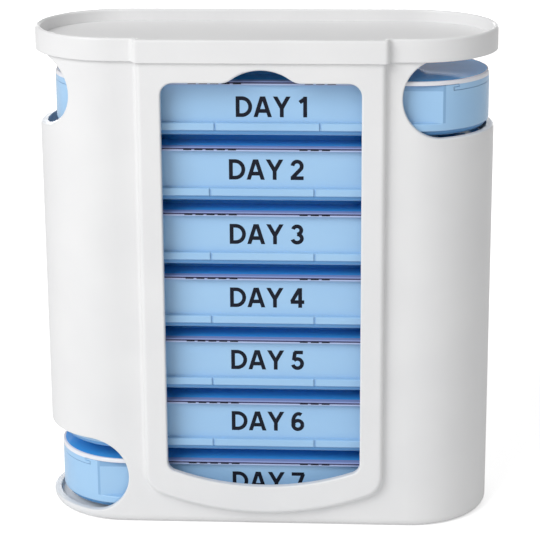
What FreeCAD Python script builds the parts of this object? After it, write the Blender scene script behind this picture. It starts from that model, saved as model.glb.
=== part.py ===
import FreeCAD, Part
import math
import os

import Sketcher

# A weekly pill organizer: a white sleeve with a window in its bulged front holds a
# stack of seven blue trays. A tray leaves through the opening at the lower left end
# and goes back in through the one at the upper right end. Each tray has four cells
# and a lid that slides along it in two T-slots. A dished cap closes the sleeve.
# +X is to the right, -Y is the front and +Z is up; the origin is under the middle.

SIZES = {
    # the stack
    "tray_count": (7, "trays in the stack"),
    "tray_height": (13.7, "tray, from its foot to the seat of its lid"),
    "lid_gap": (0.1, "running gap between a tray and its lid"),
    "lid_plate": (1.1, "thickness of a lid's top plate"),
    "lid_pad": (2.9, "height of a lid's grip pad above its plate"),
    "stack_gap": (0.2, "running gap between a pad and the tray on it"),
    "headroom": (2.8, "from the top lid's pad to the sleeve's top edge"),
    # the sleeve
    "housing_length": (124.5, "sleeve, end to end"),
    "housing_depth": (44.7, "sleeve, front to back, without the bulge"),
    "wall": (1.9, "sleeve wall"),
    "floor": (1.6, "sleeve floor"),
    "plinth_height": (1.5, "raised pad on the floor, under the lowest tray"),
    "base_fillet": (2.5, "rounding of the sleeve's bottom edge"),
    # the bulged front panel
    "bulge_margin": (29.35, "from the sleeve's end to the side of the bulged panel"),
    "bulge_out": (2.5, "how far the panel stands proud"),
    "bulge_bottom": (4.5, "height of the panel's lowest point"),
    "bulge_arc_radius": (80.0, "radius of the panel's lower edge"),
    "bulge_corner_radius": (6.5, "radius of the panel's lower corners"),
    # the window
    "window_frame": (6.3, "from the panel's side to the window's side"),
    "window_head": (5.5, "from the window's top edge to the sleeve's top edge"),
    "window_bottom": (12.5, "height of the window's lowest point"),
    "window_arc_radius": (74.0, "radius of the window's lower edge"),
    "window_top_corner": (3.4, "radius of the window's upper corners"),
    "window_low_corner": (3.0, "radius of the window's lower corners"),
    "notch_rise": (3.5, "thumb notch above the window's top edge"),
    "notch_radius": (13.3, "radius of the thumb notch"),
    "notch_blend": (5.0, "radius that leads into the thumb notch"),
    "window_edge": (0.5, "rounding of the window's front edge"),
    # the end openings
    "sill_gap": (0.3, "clearance of an opening's sill under the tray that passes it"),
    "upper_opening_reach": (24.95, "how far the upper right opening reaches in from the end"),
    "upper_opening_overrun": (0.9, "how far that opening's circle runs past the top edge"),
    "lower_opening_reach": (24.35, "how far the lower left opening reaches in from the end"),
    "lower_opening_radius": (10.75, "radius of the lower left opening"),
    "finger_cut_reach": (10.35, "how far the upper left finger cut reaches in from the end"),
    "finger_cut_radius": (10.4, "radius of the upper left finger cut"),
    "opening_edge": (0.4, "rounding of the openings' outer edges"),
    # the cap
    "cap_height": (6.2, "cap rim, bottom to top"),
    "cap_overhang": (0.8, "how far the cap stands out over the sleeve"),
    "cap_rim": (1.4, "width of the cap's raised rim"),
    "cap_dish": (3.4, "depth of the dished top"),
    "cap_floor": (1.6, "thickness of the dish's floor"),
    "cap_edge": (0.6, "rounding of the rim's edges"),
    "skirt_gap": (0.25, "clearance of the cap's skirt in the sleeve"),
    "skirt_wall": (1.2, "thickness of the cap's skirt"),
    "skirt_depth": (1.5, "how far the skirt reaches into the sleeve"),
    # the trays
    "tray_end_gap": (1.05, "clearance at each end of a tray"),
    "tray_side_gap": (0.25, "clearance in front of and behind a tray"),
    "tray_wall": (1.4, "tray wall"),
    "tray_floor": (1.2, "tray floor"),
    "label_recess": (1.4, "depth of the flat label panel in a tray's side"),
    "foot_height": (1.4, "set-back foot of a tray"),
    "foot_setback": (0.9, "how far the foot is set back"),
    "foot_edge": (0.8, "rounding under the foot"),
    "ledge_height": (2.1, "ledge above the foot, under the label panel"),
    "tray_edge": (0.3, "rounding of a tray's outer edges"),
    "cell_pitch": (28.1, "spacing of a tray's dividers"),
    "divider": (1.2, "thickness of a divider"),
    "cell_corner": (3.0, "rounding of a cell's upright corners"),
    "cell_fillet": (2.4, "rounding of a cell's floor"),
    "mark_width": (0.6, "width of the grooves in the ledge"),
    "mark_depth": (0.5, "depth of the grooves in the ledge"),
    "top_tray_draw": (1.5, "how far the top tray stands out to the right"),
    # the lids
    "slot_lip": (0.9, "width of the lips that hold a lid down"),
    "slot_lip_height": (0.6, "thickness of those lips"),
    "slot_height": (1.0, "height of the slot under those lips"),
    "slot_side_gap": (0.2, "side clearance of a lid in its slots"),
    "lid_rail": (1.6, "width of the rail round a lid's underside"),
    "pad_length": (68.0, "grip pad, end to end"),
    "pad_width": (22.0, "grip pad, front to back"),
    "pad_wall": (1.1, "thickness of the pad's hollow shell"),
    "lid_edge": (0.4, "rounding of a lid's upper edges"),
}

# Lengths that follow from the driving sizes.
DERIVED = {
    "half_length": "sizes.housing_length / 2",
    "half_depth": "sizes.housing_depth / 2",
    "inner_half_length": "sizes.housing_length / 2 - sizes.wall",
    "inner_half_depth": "sizes.housing_depth / 2 - sizes.wall",
    "front": "sizes.housing_depth / 2 + sizes.bulge_out",
    "bulge_blend": "sizes.bulge_out * 0.48",
    "bulge_half_width": "half_length - sizes.bulge_margin",
    "window_half_width": "bulge_half_width - sizes.window_frame",
    "upper_opening_edge": "half_length - sizes.upper_opening_reach",
    "lower_opening_edge": "half_length - sizes.lower_opening_reach",
    "finger_cut_edge": "half_length - sizes.finger_cut_reach",
    "pitch": "sizes.tray_height + sizes.lid_gap + sizes.lid_plate + sizes.lid_pad"
             " + sizes.stack_gap",
    "lowest_foot": "sizes.floor + sizes.plinth_height + sizes.stack_gap",
    "highest_foot": "lowest_foot + (sizes.tray_count - 1) * pitch",
    "housing_height": "lowest_foot + sizes.tray_count * pitch - sizes.stack_gap"
                      " + sizes.headroom",
    "upper_sill": "highest_foot - sizes.sill_gap",
    "upper_opening_radius": "(housing_height + sizes.upper_opening_overrun - upper_sill) / 2",
    "lower_sill": "lowest_foot - sizes.sill_gap",
    "window_top": "housing_height - sizes.window_head",
    "tray_half_length": "inner_half_length - sizes.tray_end_gap",
    "tray_half_depth": "inner_half_depth - sizes.tray_side_gap",
    "panel_y": "tray_half_depth - sizes.label_recess",
    "cell_half_depth": "panel_y - sizes.tray_wall",
    "cell_end_radius": "tray_half_depth - sizes.tray_wall",
    "slot_top": "sizes.tray_height - sizes.slot_lip_height",
    "slot_bottom": "slot_top - sizes.slot_height",
    "ledge_top": "sizes.foot_height + sizes.ledge_height",
    "rail_drop": "sizes.slot_lip_height + sizes.slot_height",
    "neck_drop": "sizes.slot_lip_height + 2 * sizes.lid_gap",
    "rail_half_depth": "cell_half_depth - sizes.slot_side_gap",
    "neck_half_depth": "cell_half_depth - sizes.slot_lip - sizes.slot_side_gap",
    "skirt_half_length": "inner_half_length - sizes.skirt_gap",
    "skirt_half_depth": "inner_half_depth - sizes.skirt_gap",
}

PI = math.pi
PAST = 5.0  # how far a cut runs past the surface that it opens
NEAR = 0.1  # tolerance when edges are picked by their place
DIVIDER_PLACES = ("-sizes.cell_pitch", "0 * sizes.cell_pitch", "sizes.cell_pitch")
MARK_PLACES = ("-sizes.cell_pitch / 2", "sizes.cell_pitch / 2")

doc = FreeCAD.newDocument("pill_drawer_organizer")


def fill_sheets():
    """Write the driving sizes and the lengths that follow from them."""
    sizes = doc.addObject("Spreadsheet::Sheet", "sizes")
    for row, (alias, (value, meaning)) in enumerate(SIZES.items(), start=1):
        sizes.set(f"A{row}", alias)
        sizes.set(f"B{row}", str(value))
        sizes.set(f"C{row}", meaning)
        sizes.setAlias(f"B{row}", alias)
    doc.recompute()
    derived = doc.addObject("Spreadsheet::Sheet", "derived")
    for row, (alias, formula) in enumerate(DERIVED.items(), start=1):
        derived.set(f"A{row}", alias)
        derived.set(f"B{row}", "=" + formula)
        derived.setAlias(f"B{row}", alias)
        doc.recompute()
    return sizes, derived


sizes, derived = fill_sheets()


def value(formula):
    """The number that a formula over the sheets stands for."""
    return float(derived.evalExpression(formula))


# Sketches -----------------------------------------------------------------------

# In a constraint, geometry -1 is the sketch's X axis, with the origin as its point 1,
# and geometry -2 is the sketch's Y axis.


def new_body(name):
    body = doc.addObject("PartDesign::Body", name)
    body.Label = name
    return body


def new_sketch(body, name, role="XY_Plane", offset=None):
    """A sketch on one of the body's own origin planes, moved out along its normal."""
    sketch = body.newObject("Sketcher::SketchObject", name)
    support = next(item for item in body.Origin.OriginFeatures if item.Role == role)
    sketch.AttachmentSupport = [(support, "")]
    sketch.MapMode = "FlatFace"
    if offset:
        sketch.setExpression("AttachmentOffset.Base.z", offset)
    return sketch


def point(x, y):
    return FreeCAD.Vector(x, y, 0)


def size(sketch, constraint, formula):
    """Add a dimension whose value is a formula over the sheets."""
    index = sketch.addConstraint(constraint)
    sketch.setExpression(f"Constraints[{index}]", formula)


def draw_arc(sketch, centre, radius, start, end):
    circle = Part.Circle(centre, FreeCAD.Vector(0, 0, 1), radius)
    return sketch.addGeometry(Part.ArcOfCircle(circle, start, end))


def draw_line(sketch, start, end):
    return sketch.addGeometry(Part.LineSegment(start, end))


def join(sketch, *ends):
    """Make each pair of curve ends meet without a corner."""
    for first, first_end, second, second_end in ends:
        sketch.addConstraint(Sketcher.Constraint("Tangent", first, first_end, second, second_end))


def meet(sketch, *ends):
    """Make each pair of curve ends meet."""
    for first, first_end, second, second_end in ends:
        sketch.addConstraint(Sketcher.Constraint("Coincident", first, first_end, second, second_end))


def lay(sketch, direction, *lines):
    """Make lines Horizontal or Vertical."""
    for line in lines:
        sketch.addConstraint(Sketcher.Constraint(direction, line))


def place(sketch, curve, end, x=None, y=None):
    """Hold a curve's end (1 start, 2 end, 3 centre) at formulas for its x and y."""
    for kind, formula in (("DistanceX", x), ("DistanceY", y)):
        if formula:
            size(sketch, Sketcher.Constraint(kind, -1, 1, curve, end, value(formula)), formula)


def round_to(sketch, formula, first, *others):
    """Give arcs one radius."""
    size(sketch, Sketcher.Constraint("Radius", first, value(formula)), formula)
    for other in others:
        sketch.addConstraint(Sketcher.Constraint("Equal", first, other))


def stadium(sketch, half_length, half_depth):
    """A rectangle with fully round ends, centred on the origin."""
    r = value(half_depth)
    c = value(half_length) - r
    right = draw_arc(sketch, point(c, 0), r, -PI / 2, PI / 2)
    back = draw_line(sketch, point(c, r), point(-c, r))
    left = draw_arc(sketch, point(-c, 0), r, PI / 2, 3 * PI / 2)
    front = draw_line(sketch, point(-c, -r), point(c, -r))
    join(sketch, (right, 2, back, 1), (back, 2, left, 1), (left, 2, front, 1), (front, 2, right, 1))
    centre_on_axis(sketch, right, f"{half_length} - {half_depth}")
    centre_on_axis(sketch, left, f"{half_depth} - {half_length}")
    round_to(sketch, half_depth, right, left)


def centre_on_axis(sketch, arc, x):
    sketch.addConstraint(Sketcher.Constraint("PointOnObject", arc, 3, -1))
    place(sketch, arc, 3, x=x)


def band(sketch, half_length, radius, half_depth):
    """A stadium with its long sides cut flat at half_depth, inside its round ends."""
    r = value(radius)
    h = value(half_depth)
    c = value(half_length) - r
    turn = math.asin(h / r)
    reach = r * math.cos(turn)
    right = draw_arc(sketch, point(c, 0), r, -turn, turn)
    back = draw_line(sketch, point(c + reach, h), point(-c - reach, h))
    left = draw_arc(sketch, point(-c, 0), r, PI - turn, PI + turn)
    front = draw_line(sketch, point(-c - reach, -h), point(c + reach, -h))
    meet(sketch, (right, 2, back, 1), (back, 2, left, 1), (left, 2, front, 1), (front, 2, right, 1))
    lay(sketch, "Horizontal", back, front)
    centre_on_axis(sketch, right, f"{half_length} - {radius}")
    centre_on_axis(sketch, left, f"{radius} - {half_length}")
    round_to(sketch, radius, right, left)
    place(sketch, back, 1, y=half_depth)
    place(sketch, front, 1, y=f"-({half_depth})")


def rectangle(sketch, left, right, low, high):
    """A rectangle between four formulas."""
    corners = [(left, low), (right, low), (right, high), (left, high)]
    spots = [point(value(x), value(y)) for x, y in corners]
    lines = [draw_line(sketch, spots[i], spots[(i + 1) % 4]) for i in range(4)]
    meet(sketch, *((lines[i], 2, lines[(i + 1) % 4], 1) for i in range(4)))
    lay(sketch, "Horizontal", lines[0], lines[2])
    lay(sketch, "Vertical", lines[1], lines[3])
    place(sketch, lines[0], 1, x=left, y=low)
    place(sketch, lines[2], 1, x=right, y=high)


def smile(sketch, half_width, bottom, arc_radius, corner_radius, top):
    """Two upright sides joined below by a shallow arc through rounded corners."""
    w, r = value(half_width), value(corner_radius)
    big = value(arc_radius)
    arc_z = value(bottom) + big
    corner_z = arc_z - math.sqrt((big - r) ** 2 - (w - r) ** 2)
    turn = math.atan2(corner_z - arc_z, -(w - r)) + 2 * PI
    left = draw_line(sketch, point(-w, value(top)), point(-w, corner_z))
    left_corner = draw_arc(sketch, point(r - w, corner_z), r, PI, turn)
    arc = draw_arc(sketch, point(0, arc_z), big, turn, 3 * PI - turn)
    right_corner = draw_arc(sketch, point(w - r, corner_z), r, 3 * PI - turn, 2 * PI)
    right = draw_line(sketch, point(w, corner_z), point(w, value(top)))
    join(sketch, (left, 2, left_corner, 1), (left_corner, 2, arc, 1),
         (arc, 2, right_corner, 1), (right_corner, 2, right, 1))
    lay(sketch, "Vertical", left, right)
    round_to(sketch, corner_radius, left_corner, right_corner)
    round_to(sketch, arc_radius, arc)
    sketch.addConstraint(Sketcher.Constraint("PointOnObject", arc, 3, -2))
    place(sketch, arc, 3, y=f"{bottom} + {arc_radius}")
    place(sketch, left, 1, x=f"-({half_width})")
    place(sketch, right, 2, x=half_width)
    return left, right


def bulge_outline(sketch, half_width, bottom, corner_radius):
    """The front panel's outline, as high as the sleeve."""
    left, right = smile(sketch, half_width, bottom, "sizes.bulge_arc_radius", corner_radius,
                        "derived.housing_height")
    w, top = value(half_width), value("derived.housing_height")
    edge = draw_line(sketch, point(w, top), point(-w, top))
    meet(sketch, (right, 2, edge, 1), (edge, 2, left, 1))
    lay(sketch, "Horizontal", edge)
    place(sketch, edge, 1, y="derived.housing_height")


def window_outline(sketch):
    """Upright sides, a shallow arc below, and a thumb notch in the top edge."""
    half_width = "derived.window_half_width"
    corner, blend, notch = "sizes.window_top_corner", "sizes.notch_blend", "sizes.notch_radius"
    w, top, r = value(half_width), value("derived.window_top"), value(corner)
    rb, rn, rise = value(blend), value(notch), value("sizes.notch_rise")
    notch_z = top + rise - rn
    x0 = math.sqrt((rb + rn) ** 2 - (top + rb - notch_z) ** 2)
    turn = math.atan2(notch_z - top - rb, -x0) + 2 * PI
    left, right = smile(sketch, half_width, "sizes.window_bottom", "sizes.window_arc_radius",
                        "sizes.window_low_corner", f"derived.window_top - {corner}")
    right_corner = draw_arc(sketch, point(w - r, top - r), r, 0, PI / 2)
    right_top = draw_line(sketch, point(w - r, top), point(x0, top))
    right_blend = draw_arc(sketch, point(x0, top + rb), rb, turn, 3 * PI / 2)
    crown = draw_arc(sketch, point(0, notch_z), rn, turn - PI, 2 * PI - turn)
    left_blend = draw_arc(sketch, point(-x0, top + rb), rb, 3 * PI / 2, 3 * PI - turn)
    left_top = draw_line(sketch, point(-x0, top), point(r - w, top))
    left_corner = draw_arc(sketch, point(r - w, top - r), r, PI / 2, PI)
    join(sketch, (right, 2, right_corner, 1), (right_corner, 2, right_top, 1),
         (right_top, 2, right_blend, 2), (right_blend, 1, crown, 1),
         (crown, 2, left_blend, 2), (left_blend, 1, left_top, 1),
         (left_top, 2, left_corner, 1), (left_corner, 2, left, 1))
    lay(sketch, "Horizontal", right_top, left_top)
    round_to(sketch, corner, right_corner, left_corner)
    round_to(sketch, blend, right_blend, left_blend)
    round_to(sketch, notch, crown)
    place(sketch, right_top, 1, y="derived.window_top")
    place(sketch, left_top, 1, y="derived.window_top")
    sketch.addConstraint(Sketcher.Constraint("PointOnObject", crown, 3, -2))
    place(sketch, crown, 3, y=f"derived.window_top + sizes.notch_rise - {notch}")


def end_slot(sketch, side, centre_x, centre_z, radius):
    """A slot with a round inner end that runs out past one end; side is 1 or -1."""
    x, z, r = value(centre_x), value(centre_z), value(radius)
    far = f"{side} * (derived.half_length + {PAST})"
    out = value(far)
    start = PI / 2 if side > 0 else -PI / 2
    arc = draw_arc(sketch, point(x, z), r, start, start + PI)
    first = draw_line(sketch, point(x, z - side * r), point(out, z - side * r))
    end = draw_line(sketch, point(out, z - side * r), point(out, z + side * r))
    last = draw_line(sketch, point(out, z + side * r), point(x, z + side * r))
    join(sketch, (arc, 2, first, 1), (last, 2, arc, 1))
    meet(sketch, (first, 2, end, 1), (end, 2, last, 1))
    lay(sketch, "Horizontal", first, last)
    lay(sketch, "Vertical", end)
    round_to(sketch, radius, arc)
    place(sketch, arc, 3, x=centre_x, y=centre_z)
    place(sketch, end, 1, x=far)


# Features -----------------------------------------------------------------------

def pad(body, name, sketch, length, reverse=False):
    feature = body.newObject("PartDesign::Pad", name)
    feature.Profile = sketch
    feature.setExpression("Length", length)
    feature.Reversed = reverse
    return finish(feature, grows=True)


def pocket(body, name, sketch, depth=None, reverse=False):
    """Cut against the sketch's normal, or right through both ways without a depth."""
    feature = body.newObject("PartDesign::Pocket", name)
    feature.Profile = sketch
    if depth:
        feature.setExpression("Length", depth)
        feature.Reversed = reverse
    else:
        feature.Type = "ThroughAll"
        feature.Midplane = True
    return finish(feature, grows=False)


def fillet(body, name, base, radius, picked):
    """Round the edges of the last feature that picked() names."""
    chosen = [f"Edge{i}" for i, edge in enumerate(base.Shape.Edges, start=1) if picked(edge)]
    feature = body.newObject("PartDesign::Fillet", name)
    feature.Base = (base, chosen)
    feature.setExpression("Radius", radius)
    doc.recompute()
    return feature


def finish(feature, grows):
    """Rebuild, and make sure that the feature added or removed something."""
    before = feature.BaseFeature.Shape.Volume if feature.BaseFeature else 0.0
    doc.recompute()
    change = feature.Shape.Volume - before
    if (change > 0) is not grows:
        raise RuntimeError(f"{feature.Label} changed nothing")
    return feature


def close(first, second):
    return abs(first - second) < NEAR / 10


def flat_at_y(edge, y):
    return close(edge.BoundBox.YMin, y) and close(edge.BoundBox.YMax, y)


def flat_at_z(edge, z):
    return close(edge.BoundBox.ZMin, z) and close(edge.BoundBox.ZMax, z)


def within(edge, half_width):
    """Whether an edge lies no further than half_width to the right and left."""
    return edge.BoundBox.XMax < half_width + NEAR and edge.BoundBox.XMin > -half_width - NEAR


def upright(edge):
    return edge.BoundBox.XLength < NEAR and edge.BoundBox.YLength < NEAR


def upright_at(edge, x, y):
    """An upright edge at that plan position, on the right or on the left."""
    return upright(edge) and close(abs(edge.BoundBox.XMin), x) and flat_at_y(edge, y)


def on_sleeve(edge):
    """Whether both ends of an edge lie on the sleeve's outer face, off the bulge."""
    radius = value("derived.half_depth")
    centre_x = value("derived.half_length") - radius
    spots = [edge.valueAt(edge.FirstParameter), edge.valueAt(edge.LastParameter)]
    return all(close(math.hypot(max(abs(spot.x) - centre_x, 0), spot.y), radius) for spot in spots)


def make_housing():
    """The sleeve: floor, walls, bulged front with its window, and the end openings."""
    body = new_body("housing")
    outline = new_sketch(body, "housing_outline")
    stadium(outline, "derived.half_length", "derived.half_depth")
    pad(body, "housing_block", outline, "derived.housing_height")

    panel = new_sketch(body, "bulge_outline", "XZ_Plane", "derived.inner_half_depth")
    bulge_outline(panel, "derived.bulge_half_width", "sizes.bulge_bottom", "sizes.bulge_corner_radius")
    block = pad(body, "bulge", panel, "sizes.wall + sizes.bulge_out")

    half_width, half_depth = value("derived.bulge_half_width"), value("derived.half_depth")
    front, top = value("derived.front"), value("derived.housing_height")

    def on_panel(edge):
        level = flat_at_y(edge, -half_depth) or flat_at_y(edge, -front)
        return within(edge, half_width) and level and not flat_at_z(edge, top)

    block = fillet(body, "bulge_blend", block, "derived.bulge_blend", on_panel)
    fillet(body, "base_fillet", block, "sizes.base_fillet", lambda edge: flat_at_z(edge, 0))

    cavity = new_sketch(body, "cavity_outline", offset="derived.housing_height")
    stadium(cavity, "derived.inner_half_length", "derived.inner_half_depth")
    pocket(body, "cavity", cavity, "derived.housing_height - sizes.floor")

    hollow = new_sketch(body, "bulge_hollow_outline", "XZ_Plane", "derived.front - sizes.wall")
    bulge_outline(hollow, "derived.bulge_half_width - sizes.wall", "sizes.bulge_bottom + sizes.wall",
                  "sizes.bulge_corner_radius - sizes.wall")
    pocket(body, "bulge_hollow", hollow, "sizes.bulge_out + sizes.wall")

    window = new_sketch(body, "window_outline", "XZ_Plane", f"derived.front + {PAST}")
    window_outline(window)
    block = pocket(body, "window", window, f"{PAST} + 2 * sizes.wall")
    window_half = value("derived.window_half_width")
    fillet(body, "window_edge", block, "sizes.window_edge",
           lambda edge: flat_at_y(edge, -front) and within(edge, window_half))

    upper = new_sketch(body, "upper_opening_outline", "XZ_Plane")
    end_slot(upper, 1, "derived.upper_opening_edge + derived.upper_opening_radius",
             "derived.upper_sill + derived.upper_opening_radius", "derived.upper_opening_radius")
    pocket(body, "upper_opening", upper)

    lower = new_sketch(body, "lower_opening_outline", "XZ_Plane")
    end_slot(lower, -1, "-derived.lower_opening_edge - sizes.lower_opening_radius",
             "derived.lower_sill + sizes.lower_opening_radius", "sizes.lower_opening_radius")
    pocket(body, "lower_opening", lower)

    finger = new_sketch(body, "finger_cut_outline", "XZ_Plane")
    end_slot(finger, -1, "-derived.finger_cut_edge - sizes.finger_cut_radius",
             "derived.upper_sill + derived.upper_opening_radius", "sizes.finger_cut_radius")
    block = pocket(body, "finger_cut", finger)
    base, blended = value("sizes.base_fillet"), half_width + value("derived.bulge_blend")

    def on_opening(edge):
        """An opening's outer edge, beside the panel and below the sleeve's top edge."""
        clear = edge.BoundBox.ZMin > base and not flat_at_z(edge, top)
        return on_sleeve(edge) and clear and not upright(edge) and not within(edge, blended)

    fillet(body, "opening_edge", block, "sizes.opening_edge", on_opening)

    plinth = new_sketch(body, "plinth_outline", offset="sizes.floor")
    stadium(plinth, "sizes.pad_length / 2", "sizes.pad_width / 2")
    pad(body, "plinth", plinth, "sizes.plinth_height")
    return body


def make_cap():
    """The cap: a raised rim round a dished top, and a skirt that fits the sleeve."""
    body = new_body("top_cap")
    body.setExpression("Placement.Base.z", "derived.housing_height")
    half_length = "(derived.half_length + sizes.cap_overhang)"
    half_depth = "(derived.half_depth + sizes.cap_overhang)"
    bulge_half = "derived.bulge_half_width + sizes.cap_overhang"
    front = "derived.front + sizes.cap_overhang"
    outline = new_sketch(body, "cap_outline")
    stadium(outline, half_length, half_depth)
    pad(body, "cap_block", outline, "sizes.cap_height")
    bulge = new_sketch(body, "cap_bulge_outline")
    rectangle(bulge, f"-({bulge_half})", bulge_half, f"-({front})", "-derived.inner_half_depth")
    block = pad(body, "cap_bulge", bulge, "sizes.cap_height")
    x, y_in, y_out = value(bulge_half), -value(half_depth), -value(front)
    fillet(body, "cap_bulge_blend", block, "derived.bulge_blend",
           lambda edge: upright_at(edge, x, y_in) or upright_at(edge, x, y_out))

    dish = new_sketch(body, "dish_outline", offset="sizes.cap_height")
    stadium(dish, f"({half_length} - sizes.cap_rim)", f"({half_depth} - sizes.cap_rim)")
    pocket(body, "dish", dish, "sizes.cap_dish")
    dish_bulge = new_sketch(body, "dish_bulge_outline", offset="sizes.cap_height")
    rectangle(dish_bulge, f"sizes.cap_rim - ({bulge_half})", f"{bulge_half} - sizes.cap_rim",
              f"sizes.cap_rim - ({front})", "-derived.inner_half_depth")
    block = pocket(body, "dish_bulge", dish_bulge, "sizes.cap_dish")
    rim = value("sizes.cap_rim")
    block = fillet(body, "dish_bulge_blend", block, "derived.bulge_blend",
                   lambda edge: upright_at(edge, x - rim, y_in + rim)
                   or upright_at(edge, x - rim, y_out + rim))
    top = value("sizes.cap_height")
    fillet(body, "rim_edge", block, "sizes.cap_edge", lambda edge: flat_at_z(edge, top))

    skirt_outer = ("derived.skirt_half_length", "derived.skirt_half_depth")
    skirt_inner = [f"({outer} - sizes.skirt_wall)" for outer in skirt_outer]
    skirt = new_sketch(body, "skirt_outline")
    stadium(skirt, *skirt_outer)
    stadium(skirt, *skirt_inner)
    pad(body, "skirt", skirt, "sizes.skirt_depth", reverse=True)
    under = new_sketch(body, "underside_outline")
    stadium(under, *skirt_inner)
    pocket(body, "underside", under, "sizes.cap_height - sizes.cap_dish - sizes.cap_floor",
           reverse=True)
    gap = new_sketch(body, "skirt_gap_outline", offset="-sizes.skirt_depth")
    depth = "derived.half_depth"
    rectangle(gap, "derived.upper_opening_edge", "derived.half_length", f"-{depth}", depth)
    rectangle(gap, "-derived.half_length", "-derived.finger_cut_edge", f"-{depth}", depth)
    pocket(body, "skirt_gap", gap, "sizes.skirt_depth", reverse=True)
    return body


def stack(body, day, above_foot="0"):
    """Set a piece at its height in the stack; the top tray is drawn out to the right."""
    foot = f"derived.highest_foot - {day - 1} * derived.pitch"
    body.setExpression("Placement.Base.z", f"{foot} + {above_foot}")
    if day == 1:
        body.setExpression("Placement.Base.x", "sizes.top_tray_draw")


def make_tray(day):
    """A tray: four cells, a flat label panel front and back, a ledge and a foot."""
    name = f"day_{day}_tray"
    body = new_body(name)
    stack(body, day)
    length, depth = "derived.tray_half_length", "derived.tray_half_depth"
    foot = new_sketch(body, f"{name}_foot_outline")
    stadium(foot, f"({length} - sizes.foot_setback)", f"({depth} - sizes.foot_setback)")
    block = pad(body, f"{name}_foot", foot, "sizes.foot_height")
    fillet(body, f"{name}_foot_edge", block, "sizes.foot_edge", lambda edge: flat_at_z(edge, 0))
    outline = new_sketch(body, f"{name}_outline", offset="sizes.foot_height")
    stadium(outline, length, depth)
    pad(body, f"{name}_block", outline, "sizes.tray_height - sizes.foot_height")

    panels = new_sketch(body, f"{name}_panel_outline", offset="sizes.tray_height")
    rectangle(panels, f"-{length}", length, f"-{depth} - {PAST}", "-derived.panel_y")
    rectangle(panels, f"-{length}", length, "derived.panel_y", f"{depth} + {PAST}")
    block = pocket(body, f"{name}_panels", panels, "sizes.tray_height - derived.ledge_top")
    half_length, half_depth = value(length), value(depth)
    foot_top, ledge_top = value("sizes.foot_height"), value("derived.ledge_top")
    rim = value("sizes.tray_height")

    def on_outside(edge):
        """The ledge's upper and lower edges and the rim."""
        box = edge.BoundBox
        far = close(box.YMax, half_depth) or close(-box.YMin, half_depth)
        lower = flat_at_z(edge, foot_top) and (far or close(box.XMax, half_length)
                                               or close(-box.XMin, half_length))
        upper = flat_at_z(edge, ledge_top) and far
        return lower or upper or flat_at_z(edge, rim)

    fillet(body, f"{name}_edges", block, "sizes.tray_edge", on_outside)

    slot = new_sketch(body, f"{name}_slot_outline", "YZ_Plane")
    rectangle(slot, "-derived.cell_half_depth", "derived.cell_half_depth",
              "derived.slot_bottom", "derived.slot_top")
    pocket(body, f"{name}_slot", slot)
    mouth = new_sketch(body, f"{name}_slot_mouth_outline", "YZ_Plane")
    rectangle(mouth, "sizes.slot_lip - derived.cell_half_depth",
              "derived.cell_half_depth - sizes.slot_lip",
              "derived.slot_bottom", f"sizes.tray_height + {PAST}")
    pocket(body, f"{name}_slot_mouth", mouth)

    cells = new_sketch(body, f"{name}_cell_outline", offset="derived.slot_bottom")
    band(cells, f"({length} - sizes.tray_wall)", "derived.cell_end_radius",
         "derived.cell_half_depth")
    pocket(body, f"{name}_cells", cells, "derived.slot_bottom - sizes.tray_floor")

    dividers = new_sketch(body, f"{name}_divider_outline", offset="sizes.tray_floor")
    for middle in DIVIDER_PLACES:
        rectangle(dividers, f"{middle} - sizes.divider / 2", f"{middle} + sizes.divider / 2",
                  "-derived.cell_half_depth", "derived.cell_half_depth")
    block = pad(body, f"{name}_dividers", dividers, "derived.slot_bottom - sizes.tray_floor")
    floor, inner = value("sizes.tray_floor"), value("derived.cell_half_depth")
    block = fillet(body, f"{name}_cell_corners", block, "sizes.cell_corner",
                   lambda edge: upright(edge) and close(edge.BoundBox.ZMin, floor))
    fillet(body, f"{name}_cell_fillet", block, "sizes.cell_fillet",
           lambda edge: flat_at_z(edge, floor) and abs(edge.BoundBox.YMax) < inner + NEAR)

    marks = new_sketch(body, f"{name}_mark_outline", offset="derived.ledge_top")
    for middle in MARK_PLACES:
        rectangle(marks, f"{middle} - sizes.mark_width / 2", f"{middle} + sizes.mark_width / 2",
                  f"-{depth} - {PAST}", f"sizes.mark_depth - {depth}")
    pocket(body, f"{name}_marks", marks, "sizes.ledge_height")
    return body


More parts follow.
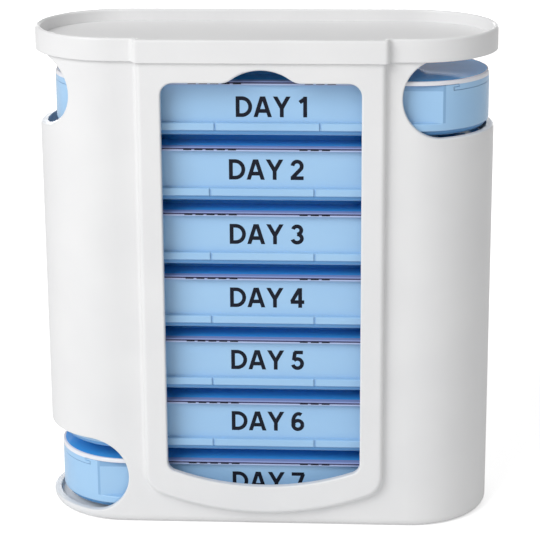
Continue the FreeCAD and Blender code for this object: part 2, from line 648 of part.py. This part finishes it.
def make_lid(day):
    """A lid: a plate with a grip pad on top and a T-shaped tongue under it."""
    name = f"day_{day}_lid"
    body = new_body(name)
    stack(body, day, "sizes.tray_height + sizes.lid_gap")
    length, depth = "derived.tray_half_length", "derived.tray_half_depth"
    plate = new_sketch(body, f"{name}_outline")
    stadium(plate, length, depth)
    block = pad(body, f"{name}_plate", plate, "sizes.lid_plate")
    plate_top = value("sizes.lid_plate")
    fillet(body, f"{name}_edge", block, "sizes.lid_edge", lambda edge: flat_at_z(edge, plate_top))
    grip = new_sketch(body, f"{name}_pad_outline", offset="sizes.lid_plate")
    stadium(grip, "sizes.pad_length / 2", "sizes.pad_width / 2")
    block = pad(body, f"{name}_pad", grip, "sizes.lid_pad")
    pad_top = value("sizes.lid_plate + sizes.lid_pad")
    fillet(body, f"{name}_pad_edge", block, "sizes.lid_edge", lambda edge: flat_at_z(edge, pad_top))

    neck = new_sketch(body, f"{name}_neck_outline")
    band(neck, length, depth, "derived.neck_half_depth")
    pad(body, f"{name}_neck", neck, "derived.neck_drop", reverse=True)
    rail = new_sketch(body, f"{name}_rail_outline", offset="-derived.neck_drop")
    band(rail, length, depth, "derived.rail_half_depth")
    pad(body, f"{name}_rail", rail, "derived.rail_drop - derived.neck_drop", reverse=True)

    under = new_sketch(body, f"{name}_underside_outline", offset="-derived.rail_drop")
    band(under, f"({length} - sizes.lid_rail)", f"({depth} - sizes.lid_rail)",
         "(derived.neck_half_depth - sizes.lid_rail)")
    pocket(body, f"{name}_underside", under, "derived.rail_drop", reverse=True)
    ribs = new_sketch(body, f"{name}_rib_outline", offset="-derived.rail_drop")
    for middle in DIVIDER_PLACES:
        rectangle(ribs, f"{middle} - sizes.divider / 2", f"{middle} + sizes.divider / 2",
                  "sizes.lid_rail / 2 - derived.neck_half_depth",
                  "derived.neck_half_depth - sizes.lid_rail / 2")
    pad(body, f"{name}_ribs", ribs, "derived.rail_drop")
    shell = new_sketch(body, f"{name}_pad_hollow_outline")
    stadium(shell, "(sizes.pad_length / 2 - sizes.pad_wall)", "(sizes.pad_width / 2 - sizes.pad_wall)")
    pocket(body, f"{name}_pad_hollow", shell,
           "sizes.lid_plate + sizes.lid_pad - sizes.pad_wall", reverse=True)
    return body


def check():
    """Stop if any object failed or any piece isn't one sound solid."""
    for item in doc.Objects:
        if "Invalid" in item.State or "Error" in item.State:
            raise RuntimeError(f"{item.Label} failed")
    for body in bodies:
        shape = body.Shape
        if shape.isNull() or not shape.isValid() or len(shape.Solids) != 1:
            raise RuntimeError(f"{body.Label} isn't one sound solid")


days = range(1, int(value("sizes.tray_count")) + 1)
bodies = [make_housing(), make_cap()]
for day in days:
    bodies.append(make_tray(day))
    bodies.append(make_lid(day))
doc.recompute()
check()

os.makedirs("parts", exist_ok=True)
for body in bodies:
    body.Shape.exportStep(os.path.join("parts", body.Label + ".step"))
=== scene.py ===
import math

import bmesh
import bpy
from mathutils import Matrix, Vector


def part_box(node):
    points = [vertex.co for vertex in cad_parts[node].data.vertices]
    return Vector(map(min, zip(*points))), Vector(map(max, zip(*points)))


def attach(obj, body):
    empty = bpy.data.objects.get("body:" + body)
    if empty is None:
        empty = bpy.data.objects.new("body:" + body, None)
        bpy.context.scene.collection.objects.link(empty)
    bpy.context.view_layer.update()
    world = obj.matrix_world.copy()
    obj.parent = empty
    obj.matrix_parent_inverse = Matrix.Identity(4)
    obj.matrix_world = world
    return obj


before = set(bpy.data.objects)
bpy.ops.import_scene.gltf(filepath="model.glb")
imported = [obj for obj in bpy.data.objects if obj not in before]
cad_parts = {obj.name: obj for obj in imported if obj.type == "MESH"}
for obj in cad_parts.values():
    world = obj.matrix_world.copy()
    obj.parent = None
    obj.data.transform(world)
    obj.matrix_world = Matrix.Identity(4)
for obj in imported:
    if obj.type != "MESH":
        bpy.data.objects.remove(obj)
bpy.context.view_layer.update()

# A weekly pill organizer: a white sleeve with a window, a dished cap, and a stack of
# seven clear blue trays with sliding lids. All lengths are in metres.

MM = 0.001
DAYS = range(1, 8)  # day 1 is the tray at the top


# Node helpers ---------------------------------------------------------------------

NOISE_SPAN = (0.3, 0.7)  # the part of a noise's values that a colour or gloss is spread over


def add(tree, kind, **properties):
    """A node with its properties set by name."""
    node = tree.nodes.new(kind)
    for name, value in properties.items():
        setattr(node, name, value)
    return node


def new_material(name, **values):
    """A material with a Principled shader; values are set on the shader's own sockets."""
    material = bpy.data.materials.new(name)
    material.use_nodes = True
    tree = material.node_tree
    shader = tree.nodes["Principled BSDF"]
    for socket, value in values.items():
        shader.inputs[socket.replace("_", " ")].default_value = value
    return material, tree, shader


def object_noise(tree, scale, detail=2.0, stretch=(1, 1, 1)):
    """Noise fixed to the piece; scale is in waves per metre."""
    place = add(tree, "ShaderNodeTexCoord")
    mapping = add(tree, "ShaderNodeMapping")
    mapping.inputs["Scale"].default_value = stretch
    noise = add(tree, "ShaderNodeTexNoise")
    noise.inputs["Scale"].default_value = scale
    noise.inputs["Detail"].default_value = detail
    tree.links.new(place.outputs["Object"], mapping.inputs["Vector"])
    tree.links.new(mapping.outputs["Vector"], noise.inputs["Vector"])
    return noise


def vary_color(tree, shader, noise, low, high):
    """Let the base colour drift between two close tones."""
    ramp = add(tree, "ShaderNodeValToRGB")
    for element, position, tone in zip(ramp.color_ramp.elements, NOISE_SPAN, (low, high)):
        element.position = position
        element.color = (*tone, 1)
    tree.links.new(noise.outputs["Fac"], ramp.inputs["Fac"])
    tree.links.new(ramp.outputs["Color"], shader.inputs["Base Color"])
    return ramp.outputs["Color"]


def compute(tree, operation, *values):
    """A math node over numbers and sockets; returns its output."""
    node = add(tree, "ShaderNodeMath", operation=operation)
    for socket, item in zip(node.inputs, values):
        if isinstance(item, bpy.types.NodeSocket):
            tree.links.new(item, socket)
        else:
            socket.default_value = item
    return node.outputs[0]


def blend_color(tree, share, under, over):
    """Lay one colour over another; each is a socket or a tone."""
    mix = add(tree, "ShaderNodeMix", data_type="RGBA")
    tree.links.new(share, mix.inputs["Factor"])
    for socket, item in ((mix.inputs[6], under), (mix.inputs[7], over)):
        if isinstance(item, bpy.types.NodeSocket):
            tree.links.new(item, socket)
        else:
            socket.default_value = (*item, 1)
    return mix.outputs[2]


def vary_roughness(tree, shader, noise, low, high):
    """Let the gloss drift between two close values."""
    span = add(tree, "ShaderNodeMapRange")
    span.inputs["From Min"].default_value, span.inputs["From Max"].default_value = NOISE_SPAN
    span.inputs["To Min"].default_value = low
    span.inputs["To Max"].default_value = high
    tree.links.new(noise.outputs["Fac"], span.inputs["Value"])
    tree.links.new(span.outputs["Result"], shader.inputs["Roughness"])


def soften(tree, shader, edge_radius, grain, strength, depth):
    """Moulded edges that catch the light, and a grain on the faces."""
    bevel = add(tree, "ShaderNodeBevel", samples=4)
    bevel.inputs["Radius"].default_value = edge_radius
    bump = add(tree, "ShaderNodeBump")
    bump.inputs["Strength"].default_value = strength
    bump.inputs["Distance"].default_value = depth
    tree.links.new(grain.outputs["Fac"], bump.inputs["Height"])
    tree.links.new(bevel.outputs["Normal"], bump.inputs["Normal"])
    tree.links.new(bump.outputs["Normal"], shader.inputs["Normal"])


# Materials ------------------------------------------------------------------------

LOWEST_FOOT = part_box("day_7_tray")[0].z
TOP_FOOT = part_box("day_1_tray")[0].z
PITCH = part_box("day_6_tray")[0].z - LOWEST_FOOT
TRAY_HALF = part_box("day_2_tray")[1]  # half a tray's length and width, as x and y
TOP_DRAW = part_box("day_1_tray")[1].x - TRAY_HALF.x  # how far the top tray is drawn out
HAIR = 0.05 * MM  # keeps a colour's border off the faces it follows
FOOT_HEIGHT = 1.4 * MM  # the set-back foot, under the ledge
FOOT_REACH = TRAY_HALF.y - 1.1 * MM  # its outer part, from the tray's middle line
PLATE_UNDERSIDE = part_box("day_7_tray")[1].z - LOWEST_FOOT + HAIR  # a lid's plate
BORDER = 0.7 * MM  # width of the painted highlight along a lid's edge
PAINTED_BANDS_BORDER = 2.2 * MM  # its width along the front, under the painted light and shade bands
PAD_REACH = 12 * MM  # clear of the grip pad, from the lid's middle line
PAINTED_BANDS_HALF = 32 * MM  # half the length of the painted light and shade bands along a lid's front
LABEL_RECESS = 1.4 * MM  # the label panel's depth behind the tray's front
PANEL_REACH = TRAY_HALF.y - LABEL_RECESS - HAIR
PANEL_END = (TRAY_HALF.x - TRAY_HALF.y
             + math.sqrt(TRAY_HALF.y ** 2 - (TRAY_HALF.y - LABEL_RECESS) ** 2))
SEAM = 0.7 * MM  # width of the painted shade line at each end of the label panel
LEDGE_TOP = 3.5 * MM  # where the label panel begins
SLOT_BOTTOM = PLATE_UNDERSIDE - 1.6 * MM  # of the slot that holds the lid's rail
LEVEL_FACING, UPRIGHT_FACING = 0.75, 0.45  # the upward share of a face's direction
SHADE_LINE_TONE = (0.28, 0.50, 0.78)  # painted shade: darker lines at the ends of the panel, and along the slot under the lid's overhang
TRAY_TONE = (0.40, 0.66, 0.95)  # a lid's sides under its plate
# painted shade: the set-back foot under the ledge is painted a deeper blue, as if shaded by it
FOOT_SHADE_TONE = (0.15, 0.40, 0.77)
EDGE_HIGHLIGHT_TONE = (0.92, 0.92, 0.97)  # painted highlight: the pale border and upright sides of a lid's plate
FRONT_LIGHT_AND_SHADE = (  # painted highlight and shade up a lid's front edge: where each starts, in millimetres, and its tone
    (0.0, (0.50, 0.61, 0.91)),
    (0.48, (0.05, 0.05, 0.14)),
    (0.90, (0.34, 0.42, 0.74)),
)


def white_plastic(name):
    """Satin white moulding with a fine grain."""
    material, tree, shader = new_material(name, IOR=1.49)
    broad = object_noise(tree, scale=55)
    vary_color(tree, shader, broad, low=(0.80, 0.80, 0.805), high=(0.83, 0.83, 0.832))
    vary_roughness(tree, shader, broad, low=0.30, high=0.40)
    fine = object_noise(tree, scale=2600)
    soften(tree, shader, 0.35 * MM, grain=fine, strength=0.06, depth=0.02 * MM)
    return material


def blue_plastic(name, low, high, roughness):
    """Blue moulding, slightly clear and wavy, with flow lines along its length."""
    material, tree, shader = new_material(name, IOR=1.49, Transmission_Weight=0.1)
    flow = object_noise(tree, scale=90, stretch=(0.25, 1, 1))
    tint = vary_color(tree, shader, flow, low, high)
    vary_roughness(tree, shader, flow, low=roughness, high=roughness + 0.05)
    waves = object_noise(tree, scale=160)
    soften(tree, shader, 0.25 * MM, grain=waves, strength=0.15, depth=0.1 * MM)
    return material, tree, shader, tint


def coordinates(tree, source):
    """The three parts of a vector socket."""
    parts = add(tree, "ShaderNodeSeparateXYZ")
    tree.links.new(source, parts.inputs[0])
    return parts.outputs


def stack_place(tree):
    """Where a point is in its tray or lid: how far along from the middle, how far back, how
    far from the tray's middle line, and how high above the tray's foot."""
    x, y, z = coordinates(tree, add(tree, "ShaderNodeTexCoord").outputs["Object"])
    draw = compute(tree, "MULTIPLY", compute(tree, "GREATER_THAN", z, TOP_FOOT), TOP_DRAW)
    along = compute(tree, "ABSOLUTE", compute(tree, "SUBTRACT", x, draw))
    beyond = compute(tree, "SUBTRACT", along, TRAY_HALF.x - TRAY_HALF.y)
    beyond = compute(tree, "POWER", compute(tree, "MAXIMUM", beyond, 0.0), 2.0)
    reach = compute(tree, "SQRT", compute(tree, "ADD", beyond, compute(tree, "POWER", y, 2.0)))
    height = compute(tree, "MODULO", compute(tree, "SUBTRACT", z, LOWEST_FOOT), PITCH)
    return along, y, reach, height


def between(tree, value, low, high):
    """One where a value lies between two others, and zero elsewhere."""
    return compute(tree, "MULTIPLY", compute(tree, "GREATER_THAN", value, low),
                   compute(tree, "LESS_THAN", value, high))


def tray_plastic(name, low, high):
    """Clear light blue, with painted shade: a deeper blue on the set-back foot under the
    ledge, and darker lines of painted shade at the ends of the label panel and along the
    slot behind its upper edge, where the lid's rail also shows through the wall."""
    material, tree, shader, tint = blue_plastic(name, low, high, roughness=0.2)
    along, _, reach, height = stack_place(tree)
    foot = compute(tree, "MULTIPLY", compute(tree, "LESS_THAN", height, FOOT_HEIGHT),
                   compute(tree, "GREATER_THAN", reach, FOOT_REACH))
    # painted shade: a darker line at each end of the label panel, as shade of its step
    seam = compute(tree, "MULTIPLY", compute(tree, "GREATER_THAN", height, LEDGE_TOP),
                   between(tree, along, PANEL_END, PANEL_END + SEAM))
    # painted shade: a darker strip along the slot, under the lid's overhang, where the lid's rail
    # also shows through
    slot = compute(tree, "MULTIPLY", compute(tree, "GREATER_THAN", height, SLOT_BOTTOM),
                   between(tree, along, PAINTED_BANDS_HALF, PANEL_END))
    lines = compute(tree, "MULTIPLY", compute(tree, "MAXIMUM", seam, slot),
                    compute(tree, "GREATER_THAN", reach, PANEL_REACH))
    # painted shade on the foot
    color = blend_color(tree, foot, tint, FOOT_SHADE_TONE)
    tree.links.new(blend_color(tree, lines, color, SHADE_LINE_TONE), shader.inputs["Base Color"])
    return material


def upright_faces(tree):
    """One on a piece's upright faces, and zero on its level ones."""
    facing = coordinates(tree, add(tree, "ShaderNodeNewGeometry").outputs["Normal"])
    span = add(tree, "ShaderNodeMapRange")
    span.inputs["From Min"].default_value = LEVEL_FACING
    span.inputs["From Max"].default_value = UPRIGHT_FACING
    tree.links.new(compute(tree, "ABSOLUTE", facing["Z"]), span.inputs["Value"])
    return span.outputs["Result"]


def painted_front_bands(tree, height):
    """The stripes up a lid's front edge: pale bands of painted highlight around a dark band of
    painted shade at the seam, where the dose marks are printed.
    """
    bands = add(tree, "ShaderNodeValToRGB")
    bands.color_ramp.interpolation = "CONSTANT"
    for index, (start, tone) in enumerate(FRONT_LIGHT_AND_SHADE):
        if index > 1:  # a new ramp has two elements
            bands.color_ramp.elements.new(start)
        bands.color_ramp.elements[index].position = start
        bands.color_ramp.elements[index].color = (*tone, 1)
    in_edge = compute(tree, "DIVIDE", compute(tree, "SUBTRACT", height, PLATE_UNDERSIDE), MM)
    tree.links.new(in_edge, bands.inputs["Fac"])
    return bands.outputs["Color"]


def lid_plastic(name, low, high):
    """Clear deep blue. The plate's upright sides and a border along its top are painted pale as
    a highlight; along the front they carry bands of painted highlight and a dark line of
    painted shade at the seam. The sides below the plate look like the tray."""
    material, tree, shader, tint = blue_plastic(name, low, high, roughness=0.05)
    along, y, reach, height = stack_place(tree)
    # painted highlight: the plate's upright sides and a border along its top edge are painted pale,
    # as if lit
    sides = compute(tree, "MULTIPLY", upright_faces(tree),
                    compute(tree, "GREATER_THAN", reach, PAD_REACH))
    in_plate = compute(tree, "GREATER_THAN", height, PLATE_UNDERSIDE)
    # the front zone, where the dose marks are printed and the edge gets the painted highlight and
    # shade bands
    printed = compute(tree, "MULTIPLY", compute(tree, "LESS_THAN", along, PAINTED_BANDS_HALF),
                      compute(tree, "LESS_THAN", y, 0.0))
    width = compute(tree, "MULTIPLY", printed, PAINTED_BANDS_BORDER - BORDER)
    width = compute(tree, "ADD", width, BORDER)
    near_edge = compute(tree, "GREATER_THAN", compute(tree, "ADD", reach, width), TRAY_HALF.y)
    outer = compute(tree, "MAXIMUM", sides, compute(tree, "MULTIPLY", in_plate, near_edge))
    edge = blend_color(tree, printed, EDGE_HIGHLIGHT_TONE, painted_front_bands(tree, height))
    edge = blend_color(tree, in_plate, TRAY_TONE, edge)
    tree.links.new(blend_color(tree, outer, tint, edge), shader.inputs["Base Color"])
    return material


def print_ink():
    """Black ink, a little thin in places."""
    material, tree, shader = new_material("label_ink", Specular_IOR_Level=0.15)
    cover = object_noise(tree, scale=900, detail=4)
    vary_color(tree, shader, cover, low=(0.006, 0.008, 0.016), high=(0.014, 0.016, 0.028))
    vary_roughness(tree, shader, cover, low=0.55, high=0.7)
    return material


SLEEVE = white_plastic("sleeve_white")
CAP = white_plastic("cap_white")
TRAY = tray_plastic("tray_blue", low=(0.38, 0.64, 0.94), high=(0.42, 0.68, 0.96))
LID = lid_plastic("lid_blue", low=(0.06, 0.42, 0.95), high=(0.08, 0.46, 0.98))
INK = print_ink()


def dress(node, material):
    """Give a node its finish."""
    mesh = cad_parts[node].data
    mesh.materials.clear()
    mesh.materials.append(material)


dress("housing", SLEEVE)
dress("top_cap", CAP)
for day in DAYS:
    dress(f"day_{day}_tray", TRAY)
    dress(f"day_{day}_lid", LID)


# Print ----------------------------------------------------------------------------

CAP_HEIGHT = 5.6 * MM  # of the letters
STROKE = 0.185  # of the letters, as a share of their height
LETTER_GAP = 0.07  # as a share of the height, too
WORD_GAP = 0.36
ARC_STEP = 12  # degrees between the points of a round stroke
PRINT_THICKNESS = 0.06 * MM
LABEL_ABOVE_FOOT = 5.7 * MM  # of the base line
LABEL_SHIFT = 1.0 * MM  # to the right of the tray's middle
LABEL_DROP = {1: 0.8 * MM}  # the top tray's label is printed lower
DASH = (2.2 * MM, 0.42 * MM)  # width and height of a dose mark
DASH_PITCH = 3.0 * MM
DASH_ABOVE_TRAY = 0.58 * MM  # of their middle
DASH_GROUPS = ((-14.05 * MM, 5), (14.05 * MM, 3))  # place and count, over the middle cells


def arc(x, y, rx, ry, start, end):
    """Points along part of an ellipse, between two angles in degrees."""
    steps = max(4, round(abs(end - start) / ARC_STEP))
    turns = [math.radians(start + (end - start) * i / steps) for i in range(steps + 1)]
    return [(x + rx * math.cos(turn), y + ry * math.sin(turn)) for turn in turns]


# Each sign is a width and its strokes, for a height of 1. Slanted strokes run past the
# base line and the cap line, and are cut there.
SIGNS = {
    "D": (0.78, [[(0.09, -0.1), (0.09, 1.1)],
                 [(0.09, 0.91), *arc(0.29, 0.5, 0.40, 0.41, 90, -90), (0.09, 0.09)]]),
    "A": (0.86, [[(0.06, -0.1), (0.435, 1.1)], [(0.80, -0.1), (0.425, 1.1)],
                 [(0.20, 0.30), (0.66, 0.30)]]),
    "Y": (0.82, [[(0.04, 1.1), (0.43, 0.40)], [(0.78, 1.1), (0.39, 0.40)],
                 [(0.41, 0.48), (0.41, -0.1)]]),
    "1": (0.44, [[(0.34, -0.1), (0.34, 1.1)], [(0.36, 0.92), (0.08, 0.72)]]),
    "2": (0.62, [[*arc(0.31, 0.68, 0.22, 0.23, 175, -35), (0.09, 0.12)],
                 [(0.0, 0.09), (0.62, 0.09)]]),
    "3": (0.62, [arc(0.30, 0.71, 0.20, 0.20, 165, -90), arc(0.30, 0.30, 0.23, 0.21, 90, -165)]),
    "4": (0.66, [[(0.46, 1.02), (0.05, 0.30)], [(0.0, 0.29), (0.66, 0.29)],
                 [(0.46, -0.1), (0.46, 1.1)]]),
    "5": (0.62, [[(0.14, 0.91), (0.57, 0.91)], [(0.18, 0.92), (0.12, 0.50)],
                 arc(0.30, 0.33, 0.23, 0.24, 140, -165)]),
    "6": (0.64, [arc(0.32, 0.32, 0.23, 0.23, 0, 360), arc(0.36, 0.5, 0.27, 0.41, 60, 215)]),
    "7": (0.62, [[(0.0, 0.91), (0.62, 0.91)], [(0.58, 0.92), (0.20, -0.1)]]),
}


def new_tree(name, **inputs):
    """A geometry tree with named length inputs; returns it with its first and last node."""
    tree = bpy.data.node_groups.new(name, "GeometryNodeTree")
    tree.interface.new_socket("Geometry", in_out="INPUT", socket_type="NodeSocketGeometry")
    for label, default in inputs.items():
        socket = tree.interface.new_socket(label, in_out="INPUT", socket_type="NodeSocketFloat")
        socket.default_value = default
    tree.interface.new_socket("Geometry", in_out="OUTPUT", socket_type="NodeSocketGeometry")
    return tree, add(tree, "NodeGroupInput"), add(tree, "NodeGroupOutput")


def stroke_tree():
    """Flat strokes of ink along curves."""
    tree, given, result = new_tree("ink_strokes", Width=STROKE * CAP_HEIGHT,
                                   Thickness=PRINT_THICKNESS)
    profile = add(tree, "GeometryNodeCurvePrimitiveQuadrilateral")
    sweep = add(tree, "GeometryNodeCurveToMesh")
    sweep.inputs["Fill Caps"].default_value = True
    merge = add(tree, "GeometryNodeMeshBoolean", operation="UNION", solver="EXACT")
    merge.inputs["Self Intersection"].default_value = True
    flat = add(tree, "GeometryNodeSetShadeSmooth")
    flat.inputs["Shade Smooth"].default_value = False
    paint = add(tree, "GeometryNodeSetMaterial")
    paint.inputs["Material"].default_value = INK
    tree.links.new(given.outputs["Width"], profile.inputs["Width"])
    tree.links.new(given.outputs["Thickness"], profile.inputs["Height"])
    tree.links.new(given.outputs["Geometry"], sweep.inputs["Curve"])
    tree.links.new(profile.outputs["Curve"], sweep.inputs["Profile Curve"])
    tree.links.new(sweep.outputs["Mesh"], merge.inputs["Mesh 2"])
    tree.links.new(merge.outputs["Mesh"], flat.inputs["Geometry"])
    tree.links.new(flat.outputs["Geometry"], paint.inputs["Geometry"])
    tree.links.new(paint.outputs["Geometry"], result.inputs["Geometry"])
    return tree


def inked(name, base, tree):
    """The plain mesh that a geometry tree makes of curves or points."""
    carrier = bpy.data.objects.new(name, base)
    bpy.context.scene.collection.objects.link(carrier)
    carrier.modifiers.new("ink", "NODES").node_group = tree
    graph = bpy.context.evaluated_depsgraph_get()
    mesh = bpy.data.meshes.new_from_object(carrier.evaluated_get(graph))
    bpy.data.objects.remove(carrier)
    return mesh


def stroke_curves(words):
    """The strokes of words, from X = 0 on the base line, and how wide the words are."""
    curve = bpy.data.curves.new("strokes", "CURVE")
    curve.dimensions = "3D"
    x = 0.0
    for sign in words:
        if sign == " ":
            x += WORD_GAP - LETTER_GAP
            continue
        width, strokes = SIGNS[sign]
        for stroke in strokes:
            spline = curve.splines.new("POLY")
            spline.points.add(len(stroke) - 1)
            for spot, (sx, sy) in zip(spline.points, stroke):
                spot.co = ((x + sx) * CAP_HEIGHT, sy * CAP_HEIGHT, 0, 1)
        x += width + LETTER_GAP
    return curve, (x - LETTER_GAP) * CAP_HEIGHT


def trim(mesh):
    """Cut the strokes level at the base line and the cap line, and close the cuts."""
    shape = bmesh.new()
    shape.from_mesh(mesh)
    for height, outwards in ((0.0, -1), (CAP_HEIGHT, 1)):
        everything = shape.verts[:] + shape.edges[:] + shape.faces[:]
        cut = bmesh.ops.bisect_plane(shape, geom=everything, plane_co=(0, height, 0),
                                     plane_no=(0, outwards, 0), clear_outer=True)
        rims = [item for item in cut["geom_cut"] if isinstance(item, bmesh.types.BMEdge)]
        bmesh.ops.contextual_create(shape, geom=rims)
    shape.to_mesh(mesh)
    shape.free()


def written(words, tree):
    """Words as a flat mesh in the XY plane, on the base line and centred on X."""
    curve, width = stroke_curves(words)
    mesh = inked("strokes", curve, tree)
    trim(mesh)
    mesh.transform(Matrix.Translation((-width / 2, 0, 0)))
    return mesh


def day_label(day, tree):
    """The printed label on a tray's front panel."""
    mesh = written(f"DAY {day}", tree)
    low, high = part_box(f"day_{day}_tray")
    centre = (low.x + high.x) / 2 + LABEL_SHIFT
    upright = Matrix.Rotation(math.pi / 2, 4, "X")
    base = low.z + LABEL_ABOVE_FOOT - LABEL_DROP.get(day, 0)
    place = (centre, low.y + LABEL_RECESS, base)
    mesh.transform(Matrix.Translation(place) @ upright)
    name = f"day_{day}_label"
    mesh.name = name
    label = bpy.data.objects.new(name, mesh)
    bpy.context.scene.collection.objects.link(label)
    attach(label, f"day_{day}_tray")


def dash_tree():
    """Small raised dashes of ink on points."""
    tree, given, result = new_tree("dose_dashes", Width=DASH[0], Height=DASH[1],
                                   Thickness=PRINT_THICKNESS)
    shape = add(tree, "ShaderNodeCombineXYZ")
    dash = add(tree, "GeometryNodeMeshCube")
    spread = add(tree, "GeometryNodeInstanceOnPoints")
    solid = add(tree, "GeometryNodeRealizeInstances")
    paint = add(tree, "GeometryNodeSetMaterial")
    paint.inputs["Material"].default_value = INK
    for axis, name in zip("XYZ", ("Width", "Thickness", "Height")):
        tree.links.new(given.outputs[name], shape.inputs[axis])
    tree.links.new(shape.outputs["Vector"], dash.inputs["Size"])
    tree.links.new(given.outputs["Geometry"], spread.inputs["Points"])
    tree.links.new(dash.outputs["Mesh"], spread.inputs["Instance"])
    tree.links.new(spread.outputs["Instances"], solid.inputs["Geometry"])
    tree.links.new(solid.outputs["Geometry"], paint.inputs["Geometry"])
    tree.links.new(paint.outputs["Geometry"], result.inputs["Geometry"])
    return tree


def dose_marks(day, tree):
    """Rows of dashes on the lid's front edge."""
    low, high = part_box(f"day_{day}_lid")
    centre = (low.x + high.x) / 2
    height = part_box(f"day_{day}_tray")[1].z + DASH_ABOVE_TRAY
    spots = [(centre + middle + (step - (count - 1) / 2) * DASH_PITCH, low.y, height)
             for middle, count in DASH_GROUPS for step in range(count)]
    name = f"day_{day}_dose_marks"
    cloud = bpy.data.meshes.new(name)
    cloud.from_pydata(spots, [], [])
    mesh = inked(name, cloud, tree)
    mesh.name = name
    marks = bpy.data.objects.new(name, mesh)
    bpy.context.scene.collection.objects.link(marks)
    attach(marks, f"day_{day}_lid")


ink_strokes = stroke_tree()
dose_dashes = dash_tree()
for day in DAYS:
    day_label(day, ink_strokes)
    dose_marks(day, dose_dashes)


# Floor, light and camera ----------------------------------------------------------

FLOOR_HALF = 3.0  # half the floor's side
FLOOR_GLOW = 0.5  # lifts the floor to white where the camera sees it
WORLD_LEVEL = 0.445  # of the light from all round
LIT_POINT = (0, 0, 0.07)  # about the middle of the object
LENS = 141.2  # in millimetres, as the sensor's width is
SENSOR = 36.0
SHIFT = (0.0046, -0.0012)  # of the picture, as a share of its side
ROLL = math.radians(-0.39)  # about the line of sight
CAMERA_PLACE = Vector((34.9, -569.0, 240.8)) * MM
CAMERA_AIM = Vector((0, 0, 68.16)) * MM


def camera_ray_color(tree, seen, unseen, surface):
    """Show one shader to the camera, also through clear parts, and another to the object."""
    path = add(tree, "ShaderNodeLightPath").outputs
    mix = add(tree, "ShaderNodeMixShader")
    looked_at = compute(tree, "MAXIMUM", path["Is Camera Ray"], path["Is Transmission Ray"])
    tree.links.new(looked_at, mix.inputs["Fac"])
    tree.links.new(unseen.outputs[0], mix.inputs[1])
    tree.links.new(seen.outputs[0], mix.inputs[2])
    tree.links.new(mix.outputs[0], surface)


def make_floor():
    """A pale floor that keeps the object's shadow."""
    mesh = bpy.data.meshes.new("floor")
    corners = [(x * FLOOR_HALF, y * FLOOR_HALF, 0) for x, y in ((-1, -1), (1, -1), (1, 1), (-1, 1))]
    mesh.from_pydata(corners, [], [(0, 1, 2, 3)])
    material = bpy.data.materials.new("floor_white")
    material.use_nodes = True
    tree = material.node_tree
    tree.nodes.clear()
    output = add(tree, "ShaderNodeOutputMaterial")
    paint = add(tree, "ShaderNodeBsdfDiffuse")
    paint.inputs["Color"].default_value = (0.9, 0.9, 0.9, 1)
    glow = add(tree, "ShaderNodeEmission")
    glow.inputs["Strength"].default_value = FLOOR_GLOW
    both = add(tree, "ShaderNodeAddShader")
    tree.links.new(paint.outputs[0], both.inputs[0])
    tree.links.new(glow.outputs[0], both.inputs[1])
    camera_ray_color(tree, both, paint, output.inputs["Surface"])
    mesh.materials.append(material)
    floor = bpy.data.objects.new("floor", mesh)
    bpy.context.scene.collection.objects.link(floor)


def make_world():
    """White behind the object, and a lower level of light on it."""
    world = bpy.data.worlds.new("studio")
    bpy.context.scene.world = world
    world.use_nodes = True
    tree = world.node_tree
    tree.nodes.clear()
    output = add(tree, "ShaderNodeOutputWorld")
    seen = add(tree, "ShaderNodeBackground")
    seen.inputs["Color"].default_value = (1, 1, 1, 1)
    unseen = add(tree, "ShaderNodeBackground")
    unseen.inputs["Color"].default_value = (1, 1, 1, 1)
    unseen.inputs["Strength"].default_value = WORLD_LEVEL
    camera_ray_color(tree, seen, unseen, output.inputs["Surface"])


def soft_box(name, place, width, height, power):
    """A rectangular studio lamp that faces the object."""
    lamp = bpy.data.lights.new(name, "AREA")
    lamp.shape = "RECTANGLE"
    lamp.size = width
    lamp.size_y = height
    lamp.energy = power
    carrier = bpy.data.objects.new(name, lamp)
    carrier.location = place
    towards = Vector(LIT_POINT) - Vector(place)
    carrier.rotation_euler = towards.to_track_quat("-Z", "Y").to_euler()
    bpy.context.scene.collection.objects.link(carrier)


def make_camera():
    """The camera, in front of the object, a little to the right and above it."""
    data = bpy.data.cameras.new("camera")
    data.lens = LENS
    data.sensor_width = SENSOR
    data.shift_x, data.shift_y = SHIFT
    data.clip_start = 0.01
    camera = bpy.data.objects.new("camera", data)
    look = (CAMERA_AIM - CAMERA_PLACE).to_track_quat("-Z", "Y").to_matrix().to_4x4()
    roll = Matrix.Rotation(ROLL, 4, "Z")
    camera.matrix_world = Matrix.Translation(CAMERA_PLACE) @ look @ roll
    bpy.context.scene.collection.objects.link(camera)
    bpy.context.scene.camera = camera


make_floor()
make_world()
soft_box("key_light", (-0.7, -0.9, 0.9), width=0.9, height=0.9, power=12.5)
soft_box("top_light", (0.1, 0.2, 1.2), width=0.8, height=0.8, power=0.8)
soft_box("back_light", (0, 1.0, 0.12), width=0.9, height=0.24, power=3.4)
make_camera()
bpy.context.scene.view_settings.view_transform = "Standard"
